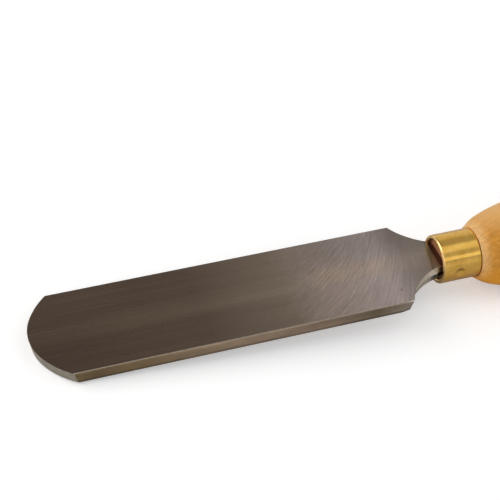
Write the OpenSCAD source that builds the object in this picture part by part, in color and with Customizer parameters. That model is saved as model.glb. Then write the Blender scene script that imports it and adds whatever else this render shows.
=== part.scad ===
// Round-nose woodturning scraper: a flat steel blade with a tang, a brass ferrule and a turned handle.
// The origin is at the middle of the blade's flat underside, the face that slides on the lathe's rest.
// X runs along the tool towards the butt of the handle, and Z is square to the blade, upwards.

/* [Blade] */
// Width of the flat bar
blade_width = 38.1; // [34:0.1:39]
// Thickness of the flat bar
blade_thickness = 4.76; // [3:0.01:5]
// Distance from the origin to the front of the ferrule
ferrule_x = 75; // [60:0.5:90]
// Reach from the front of the ferrule to the tip of the nose
blade_reach = 149.3; // [120:0.1:200]
// Distance of the blade's centre line from the handle's axis, as fitted by hand
blade_offset = 0.5; // [0:0.1:0.5]
// Width of the arris along the two long top edges
arris = 0.22; // [0.1:0.01:0.6]

/* [Nose] */
// Radius of the middle arc of the nose
nose_middle_radius = 19.75; // [18:0.05:22]
// Radius of the flatter arc on the far side of it
nose_far_radius = 33.5; // [26:0.1:40]
// Radius of the flatter arc on the near side of it
nose_near_radius = 28.6; // [26:0.1:40]
// Half of the angle that the middle arc takes
nose_middle_angle = 28.3; // [20:0.1:32]
// Slope of the ground bevel under the cutting edge, from square
bevel_angle = 11; // [5:0.5:20]

/* [Shoulders] */
// Mean distance from the ferrule's front to the shoulder corners
shoulder_gap = 13.75; // [13:0.05:18]
// How much further from the ferrule the near shoulder is ground than the far one
shoulder_skew = 4.8; // [0:0.1:5]
// Radius of the far shoulder's curve, square to the grinding wheel's axis
far_wheel_radius = 22.75; // [21:0.05:25]
// Radius of the near shoulder's curve, square to the grinding wheel's axis
near_wheel_radius = 18.15; // [17:0.05:21]
// How far the wheel's axis leans from square to the blade, which cuts the underside back at the shoulders
wheel_lean = 25.4; // [10:0.1:28]
// Direction of that lean, seen from above, from the blade's centre line
wheel_turn = 35; // [25:1:40]
// Half width that the far shoulder's curve runs down to, at the top face
far_neck_half_width = 4.75; // [4:0.05:5]
// Half width that the near shoulder's curve runs down to, at the top face
near_neck_half_width = 5; // [4:0.05:5]
// Half width of the neck inside the ferrule
mouth_half_width = 5.4; // [5:0.1:5.6]
// Length along the lower edge of the facet ground off each shoulder corner
facet_length = 4.3; // [1:0.1:5]
// Angle of that facet from the long edge, seen from above
facet_angle = 10; // [8:1:30]

/* [Tang] */
// Length of the tang inside the wood
tang_length = 76; // [50:1:90]
// Half width of the tang at its root
tang_root_half_width = 4.5; // [3:0.1:4.6]
// Half width of the tang at its tip
tang_tip_half_width = 1.5; // [1:0.1:2]
// Half thickness of the tang at its tip
tang_tip_half_thickness = 1; // [0.6:0.1:1.3]

/* [Ferrule] */
// Outside diameter of the brass tube
ferrule_diameter = 18; // [17.9:0.1:18.4]
// Wall of the brass tube
ferrule_wall = 1.6; // [0.8:0.05:1.7]
// Length of the ferrule
ferrule_length = 15; // [12:0.5:20]
// Depth from the ferrule's front to the end of the wood inside it
mouth_depth = 1.5; // [1:0.1:4.5]
// Distance from the ferrule's front to the punch marks that lock it
punch_x = 6.6; // [6:0.1:8]
// Radius of the round punch
punch_radius = 1.6; // [1:0.1:2]
// Depth of the punch marks
punch_depth = 0.5; // [0.2:0.05:0.6]
// Angle of the first punch mark around the axis, from +Y towards +Z
punch_angle = 179; // [160:1:190]

/* [Handle] */
// Radius of the wood where it meets the ferrule
handle_collar_radius = 9.5; // [9.3:0.1:10]
// Largest radius of the bead behind the ferrule
bead_radius = 16.6; // [15:0.1:18]
// Distance from the ferrule's front to the middle of the bead
bead_x = 41; // [39:0.5:44]
// Smallest radius, at the waist behind the bead
waist_radius = 12.7; // [11.5:0.1:13.5]
// Largest radius of the grip
grip_radius = 15.6; // [15:0.1:17]
// Distance from the ferrule's front to where the butt starts to round off
butt_x = 250; // [230:1:280]
// Radius of the rounded edge of the butt
butt_edge_radius = 8; // [6:0.5:10]

/* [Hidden] */
$fn = 96;
over = 1;

// The modules below measure from the handle's axis, at the front of the ferrule
half_width = blade_width / 2;
half_thickness = blade_thickness / 2;
far_shoulder_x = -(shoulder_gap - shoulder_skew / 2);
near_shoulder_x = -(shoulder_gap + shoulder_skew / 2);

// Nose: one middle arc, and a flatter arc on each side tangent to it
bevel_inset = blade_thickness * tan(bevel_angle);
nose_middle_x = nose_middle_radius - blade_reach;

facet_lean = atan(facet_length * sin(facet_angle) / blade_thickness);

tang_root_x = mouth_depth - over;
tang_tip_x = mouth_depth + tang_length;
tang_step = 0.3;
tang_root_half_thickness = half_thickness - tang_step;
pilot_radius = 2;
pilot_depth = 10;

ferrule_radius = ferrule_diameter / 2;
ferrule_bore = ferrule_radius - ferrule_wall;
lip_radius = ferrule_wall / 2;
punch_out = ferrule_radius + punch_radius - punch_depth;

// Handle: arcs tangent to each other, from the collar to the butt
collar_arc_radius = 12;
bead_arc_radius = 60;
waist_arc_radius = 70;
grip_arc_radius = 1200;
end_arc_radius = 30;
collar_arc_turn = 21;
arc_step = 3;

bead_y = bead_radius - bead_arc_radius;
collar_x = bead_x - (bead_arc_radius - collar_arc_radius) * sin(collar_arc_turn);
collar_y = bead_y + (bead_arc_radius - collar_arc_radius) * cos(collar_arc_turn);
collar_start = 180 - asin((handle_collar_radius - collar_y) / collar_arc_radius);
waist_y = waist_radius + waist_arc_radius;
waist_turn = acos((waist_y - bead_y) / (bead_arc_radius + waist_arc_radius));
waist_x = bead_x + (bead_arc_radius + waist_arc_radius) * sin(waist_turn);
grip_y = grip_radius - grip_arc_radius;
grip_turn = acos((waist_y - grip_y) / (waist_arc_radius + grip_arc_radius));
grip_x = waist_x + (waist_arc_radius + grip_arc_radius) * sin(grip_turn);
butt_turn = asin((butt_x - grip_x) / (grip_arc_radius - butt_edge_radius));
butt_y = grip_y + (grip_arc_radius - butt_edge_radius) * cos(butt_turn);
end_x = butt_x - sqrt(pow(end_arc_radius - butt_edge_radius, 2) - pow(butt_y, 2));
end_turn = asin(butt_y / (end_arc_radius - butt_edge_radius));

// Points along an arc about (x, y), from one angle to another
function arc(x, y, radius, from, to, steps) =
    [for (i = [0:steps]) let (a = from + (to - from) * i / steps) [x + radius * cos(a), y + radius * sin(a)]];

function steps_for(turn) = max(4, ceil(abs(turn) / arc_step));

// Half outline of the wood behind the ferrule: distance along the axis, and radius
function handle_outline() = concat(
    arc(collar_x, collar_y, collar_arc_radius, collar_start, 90 + collar_arc_turn,
        steps_for(collar_start - 90 - collar_arc_turn)),
    arc(bead_x, bead_y, bead_arc_radius, 90 + collar_arc_turn - arc_step, 90 - waist_turn,
        steps_for(collar_arc_turn + waist_turn)),
    arc(waist_x, waist_y, waist_arc_radius, 270 - waist_turn + arc_step, 270 + grip_turn,
        steps_for(waist_turn + grip_turn)),
    arc(grip_x, grip_y, grip_arc_radius, 90 + grip_turn / 2, 90 - butt_turn, 8),
    arc(butt_x, butt_y, butt_edge_radius, 90 - butt_turn - arc_step, end_turn,
        steps_for((90 - butt_turn - end_turn) / 2)),
    arc(end_x, 0, end_arc_radius, end_turn - arc_step, 0, 4)
);

// Middle of the ellipse in which the top face cuts a shoulder's wheel, from the blade's centre line
function wheel_y(radius, neck) =
    neck + norm([radius * sin(wheel_turn) / cos(wheel_lean), radius * cos(wheel_turn)]);

// How far that middle lies behind the shoulder corner, when it lies so far outside the long edge
function wheel_x(radius, outside) =
    let (
        squash = pow(cos(wheel_lean), 2),
        along = squash * pow(cos(wheel_turn), 2) + pow(sin(wheel_turn), 2),
        across = squash * pow(sin(wheel_turn), 2) + pow(cos(wheel_turn), 2),
        slant = (squash - 1) * sin(wheel_turn) * cos(wheel_turn) * outside
    )
    (slant + sqrt(pow(slant, 2) - along * (across * pow(outside, 2) - pow(radius, 2)))) / along;

// Moves a piece drawn about the handle's axis to its place from the origin
module placed() {
    translate([ferrule_x, blade_offset, half_thickness])
        children();
}

// The flat bar with its two top arrises, drawn along X
module bar(from, to) {
    translate([from, 0, 0])
        rotate([90, 0, 90])
            linear_extrude(to - from)
                polygon([
                    [-half_width, -half_thickness],
                    [half_width, -half_thickness],
                    [half_width, half_thickness - arris],
                    [half_width - arris, half_thickness],
                    [arris - half_width, half_thickness],
                    [-half_width, half_thickness - arris]
                ]);
}

// A cone that leans in by the bevel from the top face down to the underside
module bevel_cone(radius) {
    translate([0, 0, -half_thickness])
        cylinder(h = blade_thickness, r1 = radius - bevel_inset, r2 = radius);
}

// One side of the nose, outside the line on which the two arcs are tangent
module nose_flank(radius) {
    gap = radius - nose_middle_radius;
    reach = 2 * radius;
    translate([nose_middle_x + gap * cos(nose_middle_angle), -gap * sin(nose_middle_angle), 0])
        intersection() {
            bevel_cone(radius);
            translate([0, 0, -half_thickness])
                linear_extrude(blade_thickness)
                    polygon([
                        [0, 0],
                        [-reach * cos(nose_middle_angle), reach * sin(nose_middle_angle)],
                        [0, reach]
                    ]);
        }
}

// Everything behind the nose outline
module behind_the_nose() {
    translate([nose_middle_x, 0, 0]) bevel_cone(nose_middle_radius);
    nose_flank(nose_far_radius);
    mirror([0, 1, 0]) nose_flank(nose_near_radius);
    translate([nose_middle_x, -half_width - over, -half_thickness])
        cube([mouth_depth - nose_middle_x, blade_width + 2 * over, blade_thickness]);
}

// What the leaning wheel takes off one side: the curve into the neck, and the facet at its corner
module shoulder_cut(shoulder_x, radius, neck) {
    middle_y = wheel_y(radius, neck);
    translate([shoulder_x + wheel_x(radius, middle_y - half_width), middle_y, half_thickness])
        rotate([0, 0, -wheel_turn])
            rotate([0, wheel_lean, 0])
                cylinder(h = 2 * (radius + blade_thickness), r = radius, center = true);
    translate([shoulder_x - facet_length, half_width, -half_thickness])
        rotate([0, 0, -facet_angle])
            rotate([-facet_lean, 0, 0])
                translate([-2 * half_width, 0, -2 * blade_thickness])
                    cube([4 * half_width, half_width, 4 * blade_thickness]);
}

// Everything beside the neck, inside the ferrule
module beside_the_neck() {
    for (side = [0, 1])
        mirror([0, side, 0])
            translate([0, mouth_half_width, -blade_thickness])
                cube([mouth_depth + over, half_width, 2 * blade_thickness]);
}

// The tapered tang, on the handle's axis
module tang() {
    intersection() {
        translate([0, 0, -half_thickness])
            linear_extrude(blade_thickness)
                polygon([
                    [tang_root_x, -tang_root_half_width],
                    [tang_tip_x, -tang_tip_half_width],
                    [tang_tip_x, tang_tip_half_width],
                    [tang_root_x, tang_root_half_width]
                ]);
        translate([0, half_width, 0])
            rotate([90, 0, 0])
                linear_extrude(blade_width)
                    polygon([
                        [tang_root_x, -tang_root_half_thickness],
                        [tang_tip_x, -tang_tip_half_thickness],
                        [tang_tip_x, tang_tip_half_thickness],
                        [tang_root_x, tang_root_half_thickness]
                    ]);
    }
}

// The balls that shape the two punch marks, opposite each other
module punches(radius) {
    for (turn = [0, 180])
        rotate([punch_angle + turn, 0, 0])
            translate([punch_x, punch_out, 0])
                sphere(radius);
}

// A solid of revolution about the X axis, from a half outline of [x, radius]
module turned() {
    rotate([90, 0, 90])
        rotate_extrude()
            rotate(90)
                mirror([0, 1])
                    children();
}

module blade() {
    color("dimgray")
        placed() {
            translate([0, -blade_offset, 0])
                difference() {
                    intersection() {
                        bar(-blade_reach - over, mouth_depth);
                        behind_the_nose();
                    }
                    shoulder_cut(far_shoulder_x, far_wheel_radius, far_neck_half_width);
                    mirror([0, 1, 0]) shoulder_cut(near_shoulder_x, near_wheel_radius, near_neck_half_width);
                    beside_the_neck();
                }
            tang();
        }
}

module ferrule() {
    color("goldenrod")
        placed() difference() {
            union() {
                turned() {
                    translate([lip_radius, ferrule_bore])
                        square([ferrule_length - lip_radius, ferrule_wall]);
                    translate([lip_radius, ferrule_bore + lip_radius])
                        circle(lip_radius);
                }
                intersection() {
                    punches(punch_radius + ferrule_wall);
                    rotate([0, 90, 0])
                        cylinder(h = ferrule_length, r = ferrule_bore + lip_radius);
                }
            }
            punches(punch_radius);
        }
}

module handle() {
    color("burlywood")
        placed() difference() {
            turned()
                polygon(concat(
                    [[mouth_depth, 0], [mouth_depth, ferrule_bore], [ferrule_length, ferrule_bore]],
                    [[ferrule_length, handle_collar_radius]],
                    handle_outline()
                ));
            tang();
            punches(punch_radius + ferrule_wall);
            translate([tang_tip_x - over, 0, 0])
                rotate([0, 90, 0])
                    cylinder(h = pilot_depth + over, r = pilot_radius);
        }
}

blade();
ferrule();
handle();
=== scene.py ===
"""Looks of a round-nose woodturning scraper: steel blade, brass ferrule, turned wooden handle.

Everything is in metres, in the frame of the CAD part: X runs along the tool towards the butt,
Z is square to the blade, upwards, and z = 0 is the blade's flat underside.
"""

from math import atan2, cos, hypot, pi, radians, sin

import bmesh
import bpy
from mathutils import Matrix, Vector


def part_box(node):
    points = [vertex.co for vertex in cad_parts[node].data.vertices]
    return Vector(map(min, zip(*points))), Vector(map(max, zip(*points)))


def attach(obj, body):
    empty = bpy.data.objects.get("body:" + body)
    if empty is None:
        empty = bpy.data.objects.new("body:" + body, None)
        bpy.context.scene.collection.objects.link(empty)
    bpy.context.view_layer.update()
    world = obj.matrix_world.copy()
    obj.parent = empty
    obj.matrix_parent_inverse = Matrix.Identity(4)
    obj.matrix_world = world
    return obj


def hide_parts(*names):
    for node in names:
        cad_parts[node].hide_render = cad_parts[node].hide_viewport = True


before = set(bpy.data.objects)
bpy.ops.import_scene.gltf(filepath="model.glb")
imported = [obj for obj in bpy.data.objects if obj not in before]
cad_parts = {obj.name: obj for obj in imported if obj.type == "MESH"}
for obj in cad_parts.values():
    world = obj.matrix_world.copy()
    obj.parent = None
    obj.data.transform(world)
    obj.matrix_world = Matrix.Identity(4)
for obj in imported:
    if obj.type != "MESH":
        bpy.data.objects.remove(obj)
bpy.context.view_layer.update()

# ---------------------------------------------------------------- places, from the frame

BLADE_LOW, BLADE_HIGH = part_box("blade")
FERRULE_LOW, FERRULE_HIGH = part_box("ferrule")
HANDLE_LOW, HANDLE_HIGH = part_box("handle")
BLADE_TOP = BLADE_HIGH.z
NOSE_X = BLADE_LOW.x
FERRULE_X = FERRULE_LOW.x
FERRULE_END = FERRULE_HIGH.x
AXIS_Y = (HANDLE_LOW.y + HANDLE_HIGH.y) / 2
AXIS_Z = (HANDLE_LOW.z + HANDLE_HIGH.z) / 2

# ---------------------------------------------------------------- sizes

MM = 0.001

# Camera: turned to the right of +Y, tipped down, rolled. Its axis meets the blade's top plane
# AIM_BEFORE_FERRULE in front of the ferrule and AIM_PAST_EDGE past the far long edge.
VIEW_YAW = radians(21.33)
VIEW_PITCH = radians(43.24)
VIEW_ROLL = radians(3.72)
VIEW_DISTANCE = 542.2 * MM
VIEW_LENS = 108.5
AIM_BEFORE_FERRULE = 63.5 * MM
AIM_PAST_EDGE = 2.2 * MM

# Meshes: vertices this close are one, and faces this close in angle are one
WELD = 0.001 * MM
COPLANAR = radians(0.4)

# Blade: its edges are rounded, blunt ones and the cutting edge by a share of EDGE_ROUND
SHARP = radians(20)
BLUNT = radians(60)
EDGE_ROUND = 0.12 * MM
EDGE_SEGMENTS = 2
CUTTING_EDGE_SHARE = 0.3
BLUNT_SHARE = 0.6
NOSE_LENGTH = 15 * MM

# Turned pieces
TURNED_SHARP = radians(35)
AXIS_START = Vector((FERRULE_X, AXIS_Y, AXIS_Z))

# Ferrule
FERRULE_AROUND = 288
INSIDE_STEPS = 12
LIP_STEPS = 10
TUBE_STEPS = 84
TUBE_RADIUS = (FERRULE_HIGH.z - FERRULE_LOW.z) / 2
WALL = 1.6 * MM
BORE = TUBE_RADIUS - WALL

# Punch marks: a dent, and a shallower and wider sag round it
PUNCH_X = 6.6 * MM
PUNCH_ANGLE = radians(179)
PUNCH_RADIUS = 1.6 * MM
DENT_DEPTH = 0.5 * MM
DENT_REACH = 1.25
SAG_DEPTH = 0.12 * MM
SAG_REACH = 2.2

# The visible punch mark's middle, on the tube's outside
MARK = Vector((
    FERRULE_X + PUNCH_X,
    AXIS_Y + (FERRULE_HIGH.z - AXIS_Z) * cos(PUNCH_ANGLE),
    AXIS_Z + (FERRULE_HIGH.z - AXIS_Z) * sin(PUNCH_ANGLE),
))

# Handle: a ring of CAD vertices belongs to its outside if it has more than FULL_RING vertices
# and all of them are further from the axis than the hole bored for the tang
HANDLE_AROUND = 192
HANDLE_STEP = 1 * MM
FRONT_STEPS = 8
SPIGOT_STEP = 0.5 * MM
FULL_RING = 60
PILOT_CLEAR = 2.8 * MM

# Floor
FLOOR_RADIUS = 5.0
FLOOR_SEGMENTS = 96
FLOOR_GLOW = 0.36
FLOOR_MIRRORED = 0.3
NOSE_CLEAR = 50 * MM

# Lamp: where it hangs, the half angles of its full core and of its edge, and its strength
LAMP_DIRECTION = Vector((-0.70, 0.35, 0.62)).normalized()
LAMP_CORE = radians(16)
LAMP_EDGE = radians(28)
LAMP_STRENGTH = 2.2


# ---------------------------------------------------------------- helpers


def smooth_shade(obj, angle=SHARP):
    """Smooth shading everywhere but on edges sharper than angle."""
    obj.data.shade_smooth()
    obj.data.set_sharp_from_angle(angle=angle)


def new_piece(name, bm, materials, replaced):
    """Turns a bmesh into a piece that rides on the root body and stands for a CAD node."""
    mesh = bpy.data.meshes.new(name)
    bmesh.ops.recalc_face_normals(bm, faces=bm.faces)
    bm.to_mesh(mesh)
    bm.free()
    for material in materials:
        mesh.materials.append(material)
    piece = bpy.data.objects.new(name, mesh)
    bpy.context.scene.collection.objects.link(piece)
    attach(piece, "root")
    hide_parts(replaced)
    return piece


class Nodes:
    """A node tree written as plain calls: each method adds a node and returns its output socket."""

    def __init__(self, tree):
        self.tree = tree
        tree.nodes.clear()

    def add(self, kind, inputs=None, **settings):
        node = self.tree.nodes.new(kind)
        for name, value in settings.items():
            setattr(node, name, value)
        for name, value in (inputs or {}).items():
            if isinstance(value, bpy.types.NodeSocket):
                self.tree.links.new(value, node.inputs[name])
            else:
                node.inputs[name].default_value = value
        return node

    def math(self, operation, a, b=0.0):
        return self.add("ShaderNodeMath", {0: a, 1: b}, operation=operation).outputs[0]

    def total(self, *parts):
        """The sum of the parts."""
        result = parts[0]
        for part in parts[1:]:
            result = self.math("ADD", result, part)
        return result

    def product(self, *parts):
        """The product of the parts."""
        result = parts[0]
        for part in parts[1:]:
            result = self.math("MULTIPLY", result, part)
        return result

    def step(self, value, low, high, to_low=0.0, to_high=1.0):
        """A smooth step: to_low while value is under low, to_high above high."""
        inputs = {"Value": value, "From Min": low, "From Max": high, "To Min": to_low, "To Max": to_high}
        return self.add("ShaderNodeMapRange", inputs, interpolation_type="SMOOTHSTEP").outputs[0]

    def fall(self, value, low, high):
        """A smooth step downwards: 1 while value is under low, 0 above high."""
        return self.step(value, low, high, 1.0, 0.0)

    def spread(self, noise, low, high):
        """A noise's usual range, spread from low to high."""
        return self.step(noise, 0.3, 0.7, low, high)

    def length(self, a, b):
        """The length of the two sides a and b of a right angle, corner to corner."""
        return self.math("SQRT", self.total(self.product(a, a), self.product(b, b)))

    def distance(self, a, b):
        """How far apart two places are."""
        return self.add("ShaderNodeVectorMath", {0: a, 1: b}, operation="DISTANCE").outputs[1]

    def scaled(self, vector, scale):
        inputs = {0: vector, 1: scale}
        return self.add("ShaderNodeVectorMath", inputs, operation="MULTIPLY").outputs[0]

    def joined(self, x, y, z):
        return self.add("ShaderNodeCombineXYZ", {0: x, 1: y, 2: z}).outputs[0]

    def split(self, vector):
        return self.add("ShaderNodeSeparateXYZ", {0: vector}).outputs

    def noise(self, vector, detail, scale=1.0, roughness=0.5):
        inputs = {"Vector": vector, "Scale": scale, "Detail": detail, "Roughness": roughness}
        return self.add("ShaderNodeTexNoise", inputs).outputs["Fac"]

    def mix(self, share, a, b, blend_type="MIX"):
        """Colour a, with share of colour b over it."""
        inputs = {0: share, 6: a, 7: b}
        node = self.add("ShaderNodeMix", inputs, data_type="RGBA", blend_type=blend_type)
        return node.outputs[2]

    def shaded(self, colour, level):
        """The colour times level."""
        return self.mix(1.0, colour, self.joined(level, level, level), "MULTIPLY")

    def ramp(self, value, stops, interpolation="EASE"):
        """A colour ramp from (place, colour) pairs."""
        node = self.add("ShaderNodeValToRGB", {0: value})
        ramp = node.color_ramp
        ramp.interpolation = interpolation
        while len(ramp.elements) < len(stops):
            ramp.elements.new(0.5)
        for element, (place, colour) in zip(ramp.elements, stops):
            element.position = place
            element.color = (*colour, 1)
        return node.outputs[0]

    def bump(self, height, distance, strength):
        inputs = {"Height": height, "Distance": distance, "Strength": strength}
        return self.add("ShaderNodeBump", inputs).outputs[0]


def principled(name):
    """A new material, its node builder, the object coordinates, and a function that finishes it."""
    material = bpy.data.materials.new(name)
    material.use_nodes = True
    nodes = Nodes(material.node_tree)
    place = nodes.add("ShaderNodeTexCoord").outputs["Object"]

    def finish(**inputs):
        named = {key.replace("_", " ").title().replace("Ior", "IOR"): value for key, value in inputs.items()}
        shader = nodes.add("ShaderNodeBsdfPrincipled", named)
        nodes.add("ShaderNodeOutputMaterial", {"Surface": shader.outputs[0]})
        return material

    return nodes, place, finish


# ---------------------------------------------------------------- steel

# The grinding wheel's arcs on the top face: their radius, and how far behind the nose their centres lie
ARC_RADIUS = 100 * MM
ARC_CENTRE_X = FERRULE_X - 106 * MM
# Where the arcs begin on the blade's centre line, and how slanted that line is
ARCS_BEGIN = FERRULE_X - 52 * MM
ARCS_SLANT = 0.3
# The tan stain between the arcs and the neck, and two small pits by the near shoulder
STAIN_MIDDLE = Vector((FERRULE_X - 32 * MM, 1.2 * MM))
STAIN_HALF = Vector((14 * MM, 5 * MM))
PITS = [(Vector((FERRULE_X - 18.5 * MM, -12.7 * MM, BLADE_TOP)), 0.3 * MM),
        (Vector((FERRULE_X - 16.6 * MM, -11.2 * MM, BLADE_TOP)), 0.1 * MM)]

# The dark line on the neck, a painted shadow and reflection of the ferrule's lip: its slant, and how far
# before the ferrule it crosses the centre line
MOUTH_SLANT = 0.19
MOUTH_GAP = 2.15 * MM

# Colour of the top face from the nose to the ferrule; its dark brown nose is partly the steel's oxide and
# partly a painted reflection of the dark studio
TOP_COLOURS = [
    (0.0, (0.285, 0.232, 0.192)),
    (0.24, (0.280, 0.217, 0.168)),
    (0.40, (0.250, 0.193, 0.150)),
    (0.50, (0.305, 0.243, 0.190)),
    (0.60, (0.350, 0.280, 0.220)),
    (0.72, (0.490, 0.400, 0.355)),
    (0.86, (0.595, 0.503, 0.470)),
    (0.93, (0.375, 0.308, 0.275)),
    (1.0, (0.350, 0.305, 0.255)),
]


def along_blade(nodes, x):
    """The share of the way from the nose to the ferrule."""
    return nodes.add("ShaderNodeMapRange", {"Value": x, "From Min": NOSE_X, "From Max": FERRULE_X}).outputs[0]


def wheel_arcs(nodes, x, y):
    """A coordinate that is equal along each circle the grinding wheel followed."""
    reach = nodes.math("SUBTRACT", x, ARC_CENTRE_X)
    squared = nodes.math("SUBTRACT", ARC_RADIUS**2, nodes.product(reach, reach))
    return nodes.total(y, nodes.math("SQRT", nodes.math("MAXIMUM", squared, 0.0)))


def steel_top():
    """The top face: lengthwise lines at the nose, and curved wheel scratches near the shoulders."""
    nodes, place, finish = principled("steel_top")
    x, y, _ = nodes.split(place)

    # Lengthwise grinding lines, fine and broad
    fine = nodes.noise(nodes.scaled(place, (16.0, 1500.0, 0.0)), detail=3, roughness=0.6)
    streaks = nodes.noise(nodes.scaled(place, (7.0, 170.0, 0.0)), detail=3, roughness=0.6)

    # Wheel scratches: a dull ground, single light ones and single dark ones
    def scratches(arc, along, across, seed, detail, roughness=0.5):
        """A noise drawn out along the wheel's arcs; the seed is its third coordinate."""
        where = nodes.joined(nodes.product(x, along), nodes.product(arc, across), seed)
        return nodes.noise(where, detail=detail, roughness=roughness)

    arc = wheel_arcs(nodes, x, y)
    dull = scratches(arc, 110.0, 700.0, 0.0, detail=4, roughness=0.7)
    single = scratches(arc, 190.0, 1150.0, 5.0, detail=2)
    sweep = scratches(arc, 45.0, 230.0, 9.0, detail=3, roughness=0.6)
    second = wheel_arcs(nodes, nodes.total(x, 11 * MM), y)
    other = scratches(second, 150.0, 1300.0, 2.0, detail=2)
    light = nodes.math("MAXIMUM", nodes.step(single, 0.56, 0.68), nodes.step(other, 0.60, 0.70))
    dark = nodes.fall(single, 0.32, 0.44)

    # Where the wheel has been: its limit wanders, and the scratches run out past it one by one
    wander = nodes.noise(nodes.scaled(place, (55.0, 55.0, 0.0)), detail=2)
    limit = nodes.total(x, nodes.product(y, -ARCS_SLANT), nodes.product(wander, 14 * MM),
                        nodes.product(sweep, 16 * MM))
    ground = nodes.step(limit, ARCS_BEGIN + 6 * MM, ARCS_BEGIN + 24 * MM)

    # Colour: dark brown at the nose, partly a painted reflection, paler and greyer towards the shoulders,
    # darker on the neck; a paler band along the middle, and the stain
    colour = nodes.ramp(along_blade(nodes, x), TOP_COLOURS, "LINEAR")
    band = nodes.product(nodes.step(y, -6 * MM, -1 * MM), nodes.fall(y, 1 * MM, 7 * MM))
    colour = nodes.mix(nodes.product(band, 0.16), colour, (0.62, 0.50, 0.38, 1))
    stain_x = nodes.math("ABSOLUTE", nodes.math("SUBTRACT", x, STAIN_MIDDLE.x))
    stain_y = nodes.math("ABSOLUTE", nodes.math("SUBTRACT", y, STAIN_MIDDLE.y))
    blotch = nodes.noise(place, scale=420.0, detail=4, roughness=0.7)
    frayed = nodes.product(blotch, 6 * MM)
    stain = nodes.product(
        nodes.fall(nodes.total(stain_x, frayed), STAIN_HALF.x, STAIN_HALF.x + 6 * MM),
        nodes.fall(nodes.total(stain_y, frayed), STAIN_HALF.y, STAIN_HALF.y + 4 * MM),
        nodes.step(blotch, 0.3, 0.65, 0.4, 1.0))
    colour = nodes.mix(nodes.product(stain, 0.36), colour, (0.62, 0.455, 0.31, 1))

    # Lightness of the lines over it
    grain = nodes.noise(place, scale=1100.0, detail=3, roughness=0.7)
    lengthwise = nodes.total(nodes.spread(fine, -0.02, 0.02), nodes.spread(streaks, -0.06, 0.06))
    wheel = nodes.total(nodes.spread(dull, -0.10, 0.10), nodes.spread(sweep, -0.04, 0.04),
                        nodes.product(light, 0.19), nodes.product(dark, -0.13))
    fading = nodes.step(x, FERRULE_X - 16 * MM, FERRULE_X - 8 * MM, 1.0, 0.45)
    level = nodes.total(nodes.product(lengthwise, nodes.math("SUBTRACT", 1.0, ground)),
                        nodes.product(wheel, ground, fading), nodes.spread(grain, -0.04, 0.04), 1.0)
    # Painted reflection: the far half is darker towards the shoulders and paler at the nose
    far = nodes.product(nodes.step(y, 0.0, 14 * MM), nodes.step(x, FERRULE_X - 55 * MM, FERRULE_X - 40 * MM))
    far_nose_sheen = nodes.product(nodes.step(y, 0.0, 14 * MM),
                         nodes.step(x, NOSE_X + 15 * MM, NOSE_X + 45 * MM, 0.22, 0.0))
    level = nodes.product(level, nodes.total(nodes.product(far, -0.2), far_nose_sheen, 1.0))

    # The pits
    hollow = 0.0
    for middle, radius in PITS:
        apart = nodes.total(nodes.distance(place, middle), nodes.product(blotch, 0.5 * MM))
        pit = nodes.fall(apart, radius, radius + 0.5 * MM)
        hollow = nodes.math("MAXIMUM", hollow, pit)
    colour = nodes.mix(nodes.product(hollow, 0.6), colour, (0.11, 0.06, 0.04, 1))
    colour = nodes.shaded(colour, level)

    # Before the ferrule's lip a slanting green-grey line, a painted shadow and reflection of the lip; inside
    # the mouth the top turns dark red-brown
    slant = nodes.total(x, nodes.product(y, -MOUTH_SLANT), MOUTH_GAP - FERRULE_X)
    line = nodes.step(nodes.math("ABSOLUTE", slant), 0.2 * MM, 0.9 * MM, 0.5, 0.0)
    colour = nodes.mix(line, colour, (0.12, 0.13, 0.095, 1))
    inside = nodes.step(nodes.total(x, nodes.product(blotch, 0.4 * MM)),
                        FERRULE_X - 0.4 * MM, FERRULE_X + 0.2 * MM, 0.0, 0.85)
    colour = nodes.mix(inside, colour, (0.10, 0.03, 0.014, 1))

    lines = nodes.mix(ground, fine, dull)
    roughness = nodes.total(nodes.product(ground, 0.10), nodes.product(lines, 0.12),
                            nodes.product(hollow, 0.3), 0.2)
    relief = nodes.product(nodes.total(dull, nodes.product(light, 0.5)), ground)
    height = nodes.total(relief, nodes.product(fine, 0.15), nodes.product(hollow, -6.0))
    normal = nodes.bump(height, 0.01 * MM, 0.4)
    return finish(base_color=colour, metallic=1.0, roughness=roughness, normal=normal)


# Colour of the long edges from the nose to the shoulder
SIDE_COLOURS = [
    (0.0, (0.22, 0.155, 0.085)),
    (0.22, (0.28, 0.200, 0.110)),
    (0.42, (0.47, 0.340, 0.230)),
    (0.65, (0.39, 0.285, 0.210)),
    (0.80, (0.23, 0.180, 0.115)),
    (0.90, (0.38, 0.315, 0.260)),
    (1.0, (0.42, 0.360, 0.310)),
]


def steel_side():
    """The bar's long edges: brown scale, with lines along the bar, painted shade low down and a painted
    highlight high up.
    """
    nodes, place, finish = principled("steel_side")
    x, _, z = nodes.split(place)
    fine = nodes.noise(nodes.scaled(place, (14.0, 0.0, 1800.0)), detail=3, roughness=0.6)
    patches = nodes.noise(nodes.scaled(place, (60.0, 0.0, 300.0)), detail=4, roughness=0.65)
    colour = nodes.ramp(along_blade(nodes, x), SIDE_COLOURS, "LINEAR")
    # Painted shade towards the underside and a painted highlight along the upper arris
    low = nodes.step(z, 0.3 * MM, 1.3 * MM, 0.55, 1.0)
    high = nodes.step(z, 3.6 * MM, 4.6 * MM, 1.0, 1.25)
    level = nodes.product(nodes.spread(fine, 0.93, 1.07), nodes.spread(patches, 0.82, 1.18), low, high)
    colour = nodes.shaded(colour, level)
    roughness = nodes.spread(patches, 0.36, 0.5)
    normal = nodes.bump(nodes.total(fine, patches), 0.01 * MM, 0.5)
    return finish(base_color=colour, metallic=1.0, roughness=roughness, normal=normal)


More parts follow.
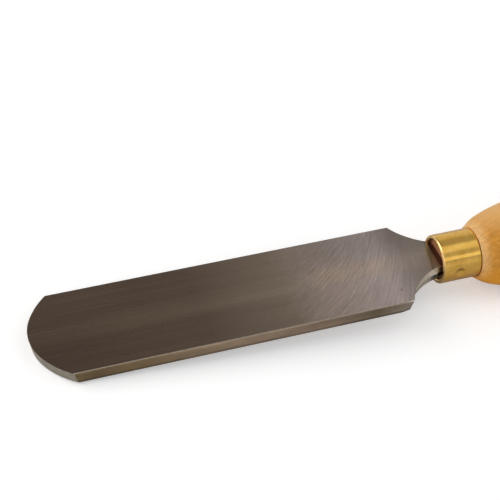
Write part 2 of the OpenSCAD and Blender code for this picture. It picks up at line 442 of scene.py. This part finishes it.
def steel_ground():
    """The nose bevel, the arrises and the shoulders: freshly ground, with short lines across the edge."""
    nodes, place, finish = principled("steel_ground")
    x, y, z = nodes.split(place)
    lines = nodes.noise(nodes.scaled(place, (700.0, 700.0, 110.0)), detail=3, roughness=0.6)

    # The bevel, browner behind the nose, and darkest along the far edge, where a painted reflection darkens
    # it
    shoulder = nodes.step(x, FERRULE_X - 20 * MM, FERRULE_X - 15 * MM)
    bevel = nodes.ramp(lines, [(0.25, (0.38, 0.33, 0.26)), (0.75, (0.54, 0.475, 0.39))])
    along_edge = nodes.step(x, NOSE_X + 11 * MM, NOSE_X + 14 * MM, 0.0, 0.4)
    bevel = nodes.mix(along_edge, bevel, (0.20, 0.155, 0.10, 1))
    far = nodes.step(y, BLADE_HIGH.y - 2 * MM, BLADE_HIGH.y - 1 * MM, 0.0, 0.85)
    bevel = nodes.mix(far, bevel, (0.09, 0.075, 0.045, 1))

    # The shoulders, brighter, with painted shade towards their lower edge, strongest by the ferrule
    bright = nodes.ramp(lines, [(0.25, (0.84, 0.79, 0.68)), (0.75, (0.97, 0.93, 0.84))])
    low = nodes.fall(nodes.total(z, nodes.product(lines, 0.6 * MM)), 1.9 * MM, 2.8 * MM)
    under = nodes.step(x, FERRULE_X - 6.5 * MM, FERRULE_X - 2.5 * MM, 0.4, 0.96)
    bright = nodes.mix(nodes.product(low, under), bright, (0.05, 0.042, 0.022, 1))
    colour = nodes.mix(shoulder, bevel, bright)
    roughness = nodes.spread(lines, 0.26, 0.4)
    normal = nodes.bump(lines, 0.008 * MM, 0.5)
    return finish(base_color=colour, metallic=1.0, roughness=roughness, normal=normal)


# ---------------------------------------------------------------- brass


def brass():
    """Polished brass, with faint turned lines, small specks and duller patches."""
    nodes, place, finish = principled("brass")
    x, y, z = nodes.split(place)
    turned = nodes.noise(nodes.scaled(place, (3500.0, 40.0, 40.0)), detail=2)
    patches = nodes.noise(place, scale=320.0, detail=4, roughness=0.65)
    specks = nodes.noise(place, scale=1900.0, detail=3, roughness=0.65)
    colour = nodes.ramp(patches, [(0.3, (0.80, 0.46, 0.090)), (0.7, (0.93, 0.57, 0.135))])
    colour = nodes.mix(nodes.step(specks, 0.56, 0.72, 0.0, 0.35), colour, (0.52, 0.28, 0.06, 1))

    # The lip is rubbed, and painted paler as a painted highlight; the upper part of the visible punch mark is
    # painted dark as the dent's painted shade; the joint with the wood is dark, darker on the near side
    lip = nodes.fall(x, FERRULE_X + 0.5 * MM, FERRULE_X + 0.8 * MM)
    colour = nodes.mix(nodes.product(lip, 0.4), colour, (0.95, 0.70, 0.42, 1))
    joint = nodes.step(nodes.total(x, nodes.product(patches, 0.3 * MM)), FERRULE_END - 0.22 * MM, FERRULE_END)
    apart = nodes.distance(place, MARK)
    upper = nodes.step(z, MARK.z - 0.3 * MM, MARK.z + 0.8 * MM)
    mark = nodes.product(nodes.fall(apart, 1.2 * MM, 2.2 * MM), upper)
    near = nodes.step(y, AXIS_Y - 4 * MM, AXIS_Y, 0.95, 0.3)
    colour = nodes.mix(nodes.product(mark, 0.6), colour, (0.10, 0.05, 0.015, 1))
    colour = nodes.mix(nodes.product(joint, near), colour, (0.035, 0.022, 0.010, 1))

    roughness = nodes.total(nodes.product(turned, 0.06), nodes.product(patches, 0.14), 0.05)
    height = nodes.total(nodes.product(turned, 0.3), nodes.product(specks, 0.8), nodes.product(patches, 2.5))
    normal = nodes.bump(height, 0.01 * MM, 0.7)
    return finish(base_color=colour, metallic=1.0, roughness=roughness, normal=normal)


def dull_brass():
    """The inside of the tube, tarnished dark brown."""
    nodes, place, finish = principled("dull_brass")
    cloud = nodes.noise(place, scale=500.0, detail=4, roughness=0.65)
    colour = nodes.ramp(cloud, [(0.3, (0.20, 0.09, 0.035)), (0.7, (0.42, 0.21, 0.085))])
    roughness = nodes.spread(cloud, 0.5, 0.7)
    normal = nodes.bump(cloud, 0.03 * MM, 0.5)
    return finish(base_color=colour, metallic=0.8, roughness=roughness, normal=normal)


# ---------------------------------------------------------------- wood

# The tree's centre, beside and below the handle's axis: the year rings circle it
PITH_Y = 34 * MM
PITH_Z = -46 * MM
RINGS_PER_METRE = 420.0


def wood():
    """Pale hardwood under clear lacquer: year rings, fine flecks along the grain."""
    nodes, place, finish = principled("lacquered_wood")
    x, y, z = nodes.split(place)
    sway = nodes.noise(nodes.scaled(place, (9.0, 30.0, 30.0)), detail=2)
    swayed = nodes.product(nodes.math("SUBTRACT", sway, 0.5), 9 * MM)
    across = nodes.total(y, swayed, -PITH_Y)
    up = nodes.total(z, swayed, -PITH_Z)
    radius = nodes.length(across, up)
    ring = nodes.math("FRACT", nodes.product(radius, RINGS_PER_METRE))
    late = nodes.product(nodes.step(ring, 0.3, 0.95), nodes.fall(ring, 0.97, 1.0))
    flecks = nodes.noise(nodes.scaled(place, (160.0, 2600.0, 2600.0)), detail=2, roughness=0.6)
    fleck = nodes.step(flecks, 0.60, 0.72)
    fibres = nodes.noise(nodes.scaled(place, (40.0, 900.0, 900.0)), detail=4, roughness=0.65)
    clouds = nodes.noise(nodes.scaled(place, (35.0, 60.0, 60.0)), detail=2)

    colour = nodes.ramp(nodes.total(nodes.product(clouds, 0.5), nodes.product(fibres, 0.5)), [
        (0.3, (0.52, 0.213, 0.025)),
        (0.7, (0.64, 0.292, 0.046)),
    ])
    colour = nodes.mix(nodes.product(late, 0.22), colour, (0.48, 0.19, 0.03, 1))
    colour = nodes.mix(nodes.product(fleck, 0.35), colour, (0.38, 0.15, 0.03, 1))
    # The collar by the ferrule is paler, a painted sheen where its steep face catches the light, and its
    # speckle is stronger
    collar = nodes.step(nodes.total(x, nodes.product(clouds, 3 * MM)),
                        FERRULE_END + 1.5 * MM, FERRULE_END + 5.5 * MM, 0.5, 0.0)
    colour = nodes.mix(collar, colour, (0.88, 0.60, 0.30, 1))
    speckle = nodes.spread(nodes.noise(place, scale=1500.0, detail=3, roughness=0.7), -1.0, 1.0)
    streak = nodes.spread(fibres, -0.07, 0.07)
    level = nodes.total(nodes.product(speckle, nodes.total(nodes.product(collar, 0.26), 0.06)), streak, 1.0)
    colour = nodes.shaded(colour, level)

    # Painted light and shade: paler on the upper and far side, more amber on the lower and near side, less so
    # underneath
    height = nodes.total(z, nodes.product(y, 0.5))
    painted_top_light = nodes.step(height, AXIS_Z + 8 * MM, AXIS_Z + 17 * MM, 0.0, 0.55)
    amber = nodes.product(nodes.step(height, AXIS_Z - 11 * MM, AXIS_Z - 1 * MM, 0.6, 0.0),
                          nodes.step(height, AXIS_Z - 17 * MM, AXIS_Z - 12 * MM, 0.3, 1.0))
    colour = nodes.mix(painted_top_light, colour, (0.80, 0.50, 0.22, 1))
    colour = nodes.mix(amber, colour, (0.92, 0.38, 0.015, 1))

    # A dark joint with the brass, darker on the near side
    aside = nodes.math("SUBTRACT", y, AXIS_Y)
    above = nodes.math("SUBTRACT", z, AXIS_Z)
    away = nodes.length(aside, above)
    rim = FERRULE_HIGH.z - AXIS_Z
    joint = nodes.product(nodes.fall(x, FERRULE_END + 0.1 * MM, FERRULE_END + 0.3 * MM),
                          nodes.step(away, rim + 0.1 * MM, rim + 0.3 * MM, 0.9, 0.0),
                          nodes.step(y, AXIS_Y - 4 * MM, AXIS_Y, 1.0, 0.3))
    colour = nodes.mix(joint, colour, (0.06, 0.028, 0.012, 1))

    # The bare front inside the tube, darkest beside the neck: the axis is at half the blade's height
    front = nodes.fall(x, FERRULE_X + 2 * MM, FERRULE_X + 3 * MM)
    colour = nodes.mix(front, colour, (0.34, 0.15, 0.07, 1))
    beside = nodes.step(nodes.math("ABSOLUTE", above), AXIS_Z + 0.2 * MM, AXIS_Z + 1 * MM, 0.9, 0.0)
    colour = nodes.mix(nodes.product(front, beside), colour, (0.12, 0.035, 0.015, 1))

    roughness = nodes.spread(fibres, 0.42, 0.54)
    relief = nodes.total(nodes.product(fibres, 0.4), nodes.product(fleck, -0.5))
    normal = nodes.bump(relief, 0.02 * MM, 0.5)
    return finish(base_color=colour, roughness=roughness, normal=normal, specular_ior_level=0.15,
                  coat_weight=0.03, coat_roughness=0.3)


# ---------------------------------------------------------------- pieces


def make_blade():
    """The CAD blade, welded, with its edges slightly rounded and each ground face its own finish."""
    bm = bmesh.new()
    bm.from_mesh(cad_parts["blade"].data)
    bmesh.ops.remove_doubles(bm, verts=bm.verts, dist=WELD)
    bmesh.ops.dissolve_limit(bm, angle_limit=COPLANAR, verts=bm.verts, edges=bm.edges)
    bm.normal_update()

    # Flat faces, the long edges, and all that is ground
    top, side, ground = range(3)
    side_y = (BLADE_HIGH.y - BLADE_LOW.y) / 2 - 1 * MM
    for face in bm.faces:
        middle = face.calc_center_median()
        if abs(face.normal.z) > 0.99:
            face.material_index = top
        elif abs(face.normal.y) > 0.9 and -0.05 < face.normal.x < 0.3 and abs(middle.y) > side_y:
            face.material_index = side
        else:
            face.material_index = ground

    share = bm.edges.layers.float.new("bevel_weight_edge")
    for edge in bm.edges:
        if len(edge.link_faces) != 2 or edge.calc_face_angle() < SHARP:
            continue
        on_top = all(abs(v.co.z - BLADE_TOP) < WELD for v in edge.verts)
        at_nose = max(v.co.x for v in edge.verts) < NOSE_X + NOSE_LENGTH
        if on_top and at_nose and abs(sum(v.co.y for v in edge.verts)) / 2 < BLADE_HIGH.y - 0.5 * MM:
            edge[share] = CUTTING_EDGE_SHARE
        elif edge.calc_face_angle() < BLUNT:
            edge[share] = BLUNT_SHARE
        else:
            edge[share] = 1.0

    steels = [steel_top(), steel_side(), steel_ground()]
    blade = new_piece("scraper_blade", bm, steels, "blade")
    bevel = blade.modifiers.new("edges", "BEVEL")
    bevel.limit_method = "WEIGHT"
    bevel.width = EDGE_ROUND
    bevel.segments = EDGE_SEGMENTS
    smooth_shade(blade)
    return blade


def ferrule_outline():
    """Half outline of the brass tube, from the inside back, round the front lip, to the outside back."""
    length = FERRULE_END - FERRULE_X
    lip = WALL / 2
    inside = [(length - (length - lip) * i / INSIDE_STEPS, BORE) for i in range(INSIDE_STEPS)]
    turns = [-pi / 2 - pi * i / (2 * LIP_STEPS) for i in range(2 * LIP_STEPS + 1)]
    front = [(lip + lip * cos(a), BORE + lip + lip * sin(a)) for a in turns]
    outside = [(lip + (length - lip) * i / TUBE_STEPS, TUBE_RADIUS) for i in range(1, TUBE_STEPS + 1)]
    return inside + front + outside


def punched(point):
    """Moves a point of the tube or of the wood in it, measured from the axis at the tube's front, inwards
    if it lies in one of the two punch marks."""
    for turn in (0, pi):
        angle = PUNCH_ANGLE + turn
        out = Vector((0, cos(angle), sin(angle)))
        rest = point - Vector((PUNCH_X, 0, 0))
        depth = rest.dot(out)
        aside = (rest - out * depth).length
        if depth > 0 and aside < SAG_REACH * PUNCH_RADIUS:
            dent = DENT_DEPTH * max(0.0, 1 - (aside / (DENT_REACH * PUNCH_RADIUS)) ** 2)
            sag = SAG_DEPTH * max(0.0, 1 - (aside / (SAG_REACH * PUNCH_RADIUS)) ** 2)
            return point - out * (dent + sag)
    return point


def spun(outline, around):
    """A closed mesh spun about the handle's axis from a half outline, with the punch marks in it.

    The outline holds (distance behind the ferrule's front, radius) pairs. It either starts and ends on
    the axis or starts off it, and then its end is joined to its start.
    """
    bm = bmesh.new()
    rings = []
    for distance, radius in outline:
        if radius < WELD:
            rings.append([bm.verts.new(AXIS_START + Vector((distance, 0, 0)))])
            continue
        ring = []
        for i in range(around):
            angle = 2 * pi * i / around
            point = Vector((distance, radius * cos(angle), radius * sin(angle)))
            ring.append(bm.verts.new(AXIS_START + punched(point)))
        rings.append(ring)
    closed = outline[0][1] > WELD
    pairs = list(zip(rings, rings[1:])) + ([(rings[-1], rings[0])] if closed else [])
    for a, b in pairs:
        for i in range(around):
            corners = [a[i % len(a)], a[(i + 1) % len(a)], b[(i + 1) % len(b)], b[i % len(b)]]
            bm.faces.new(list(dict.fromkeys(corners)))
    return bm


def make_ferrule():
    """The brass tube: rolled front lip, thin wall, two soft punch marks, and a dull inside."""
    bm = spun(ferrule_outline(), FERRULE_AROUND)
    bm.normal_update()
    for face in bm.faces:
        middle = face.calc_center_median()
        away = hypot(middle.y - AXIS_Y, middle.z - AXIS_Z)
        face.material_index = int(away < BORE + 0.1 * MM and middle.x > FERRULE_X + WALL / 2)
    ferrule = new_piece("brass_ferrule", bm, [brass(), dull_brass()], "ferrule")
    smooth_shade(ferrule, TURNED_SHARP)


def turned_stations():
    """The CAD handle's outside behind the ferrule: (distance from the ferrule's front, radius) pairs."""
    rings = {}
    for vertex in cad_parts["handle"].data.vertices:
        radius = hypot(vertex.co.y - AXIS_Y, vertex.co.z - AXIS_Z)
        rings.setdefault(round(vertex.co.x, 5), []).append(radius)
    stations = [
        (x - FERRULE_X, sum(radii) / len(radii))
        for x, radii in sorted(rings.items())
        if x > FERRULE_END + WELD and len(radii) > FULL_RING and min(radii) > PILOT_CLEAR
    ]
    return stations + [(HANDLE_HIGH.x - FERRULE_X, 0.0)]


def curve_through(points, step):
    """A smooth curve through the points, in pieces about step long."""
    points = [Vector(p) for p in points]
    slopes = []
    for i, point in enumerate(points):
        before, after = points[max(i - 1, 0)], points[min(i + 1, len(points) - 1)]
        back, ahead = (point - before).length, (after - point).length
        if not back or not ahead:
            slopes.append((after - before).normalized())
        else:
            slopes.append(((point - before) * ahead / back + (after - point) * back / ahead) / (back + ahead))
    curve = []
    for a, b, slope_a, slope_b in zip(points, points[1:], slopes, slopes[1:]):
        length = (b - a).length
        count = max(1, round(length / step))
        for i in range(count):
            t = i / count
            curve.append(
                a * (1 + 2 * t) * (1 - t) ** 2
                + b * t * t * (3 - 2 * t)
                + slope_a * length * t * (1 - t) ** 2
                - slope_b * length * t * t * (1 - t)
            )
    return [tuple(p) for p in curve + points[-1:]]


def handle_outline():
    """Half outline of the wood: its front inside the ferrule, the spigot, the step, and the turned shape."""
    front = HANDLE_LOW.x - FERRULE_X
    back = FERRULE_END - FERRULE_X
    turned = turned_stations()
    face = [(front, BORE * i / FRONT_STEPS) for i in range(FRONT_STEPS)]
    count = round((back - front) / SPIGOT_STEP)
    spigot = [(front + (back - front) * i / count, BORE) for i in range(count + 1)]
    collar = turned[0][1] - (turned[1][1] - turned[0][1]) * 0.15
    step = [(back, (BORE + collar) / 2), (back, collar)]
    return face + spigot + step + curve_through(turned, HANDLE_STEP)


def make_handle(blade):
    """The turned wood, with the tang's socket cut in it."""
    bm = spun(handle_outline(), HANDLE_AROUND)
    handle = new_piece("wood_handle", bm, [wood()], "handle")
    socket = handle.modifiers.new("tang_socket", "BOOLEAN")
    socket.operation = "DIFFERENCE"
    socket.solver = "EXACT"
    socket.object = blade
    bpy.context.view_layer.update()
    cut = bpy.data.meshes.new_from_object(handle.evaluated_get(bpy.context.evaluated_depsgraph_get()))
    handle.modifiers.clear()
    handle.data = cut
    smooth_shade(handle, TURNED_SHARP)


# ---------------------------------------------------------------- stage


def make_camera():
    """The camera: its axis meets the blade's top plane a little past the far long edge."""
    forward = Vector((sin(VIEW_YAW) * cos(VIEW_PITCH), cos(VIEW_YAW) * cos(VIEW_PITCH), -sin(VIEW_PITCH)))
    level = Vector((cos(VIEW_YAW), -sin(VIEW_YAW), 0))
    right = Matrix.Rotation(-VIEW_ROLL, 3, forward) @ level
    up = right.cross(forward)
    aim = Vector((FERRULE_X - AIM_BEFORE_FERRULE, BLADE_HIGH.y + AIM_PAST_EDGE, BLADE_TOP))
    data = bpy.data.cameras.new("camera")
    data.lens = VIEW_LENS
    data.clip_start = 0.01
    data.clip_end = 50
    camera = bpy.data.objects.new("camera", data)
    camera.matrix_world = Matrix((right, up, -forward)).transposed().to_4x4()
    camera.location = aim - forward * VIEW_DISTANCE
    bpy.context.scene.collection.objects.link(camera)
    bpy.context.scene.camera = camera


def floor_slope():
    """Where the tool touches the floor with its nose, and the floor's drop towards +X from there.

    The other point that it rests on is the bead, so only points past NOSE_CLEAR count for the drop.
    """
    points = [v.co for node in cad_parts.values() for v in node.data.vertices]
    nose = min((p for p in points if abs(p.z) < WELD), key=lambda p: p.x)
    return nose, max((nose.z - p.z) / (p.x - nose.x) for p in points if p.x > nose.x + NOSE_CLEAR)


def floor_material():
    """A pale matt table, lifted to white by a light that only the camera sees, and darker in reflections."""
    nodes, place, finish = principled("white_table")
    cloud = nodes.noise(place, scale=9.0, detail=3)
    colour = nodes.ramp(cloud, [(0.3, (0.76, 0.76, 0.76)), (0.7, (0.78, 0.78, 0.785))])
    path = nodes.add("ShaderNodeLightPath").outputs
    colour = nodes.mix(nodes.product(path["Is Glossy Ray"], FLOOR_MIRRORED), colour, (0.1, 0.1, 0.1, 1))
    seen = path["Is Camera Ray"]
    return finish(base_color=colour, roughness=0.9, emission_color=(1, 1, 1, 1),
                  emission_strength=nodes.product(seen, FLOOR_GLOW))


def make_floor():
    """A wide round table under the tool, stage only."""
    nose, slope = floor_slope()
    bm = bmesh.new()
    bmesh.ops.create_circle(bm, cap_ends=True, segments=FLOOR_SEGMENTS, radius=FLOOR_RADIUS)
    mesh = bpy.data.meshes.new("floor")
    bm.to_mesh(mesh)
    bm.free()
    mesh.materials.append(floor_material())
    floor = bpy.data.objects.new("floor", mesh)
    floor.location = nose
    floor.rotation_euler = (0, atan2(slope, 1), 0)
    bpy.context.scene.collection.objects.link(floor)


def grey(level):
    """A grey colour."""
    return (level, level, level)


def make_studio():
    """A light tent: pale panels along the tool, a darker opening up at the far left, one brighter lamp."""
    world = bpy.data.worlds.new("studio")
    bpy.context.scene.world = world
    world.use_nodes = True
    nodes = Nodes(world.node_tree)
    toward = nodes.add("ShaderNodeTexCoord").outputs["Generated"]
    x, y, z = nodes.split(toward)

    # Panels: their brightness by angle about the X axis, from the far horizon (0) over the top
    # to the near one (1)
    turn = nodes.math("DIVIDE", nodes.math("ARCTAN2", z, y), pi)
    panels = nodes.ramp(turn, [
        (0.0, grey(0.75)),
        (0.20, grey(0.70)),
        (0.30, grey(0.45)),
        (0.42, grey(0.42)),
        (0.50, grey(0.85)),
        (0.60, grey(0.85)),
        (0.67, grey(0.50)),
        (0.755, grey(0.52)),
        (0.77, grey(1.0)),
        (0.845, grey(1.0)),
        (0.855, grey(0.40)),
        (0.93, grey(0.60)),
        (1.0, grey(0.65)),
    ])

    # The opening, and paler walls beyond both ends of the tool
    opening = nodes.product(nodes.fall(x, 0.08, 0.42),
                            nodes.step(turn, 0.08, 0.16),
                            nodes.fall(turn, 0.36, 0.46))
    panels = nodes.mix(opening, panels, (0.10, 0.062, 0.04, 1))
    aside = nodes.total(nodes.step(x, -0.2, 0.0, 0.5, 0.0), nodes.step(x, 0.5, 0.7, 0.0, 0.5))
    panels = nodes.mix(aside, panels, (1.1, 1.1, 1.1, 1))

    # The lamp
    inputs = {0: toward, 1: LAMP_DIRECTION}
    facing = nodes.add("ShaderNodeVectorMath", inputs, operation="DOT_PRODUCT").outputs[1]
    lamp = nodes.step(facing, cos(LAMP_EDGE), cos(LAMP_CORE), 0.0, LAMP_STRENGTH)
    light = nodes.mix(1.0, panels, nodes.joined(lamp, lamp, lamp), "ADD")
    background = nodes.add("ShaderNodeBackground", {"Color": light})
    nodes.add("ShaderNodeOutputWorld", {"Surface": background.outputs[0]})


bpy.context.scene.view_settings.view_transform = "Standard"
make_camera()
make_floor()
make_studio()
blade = make_blade()
make_ferrule()
make_handle(blade)
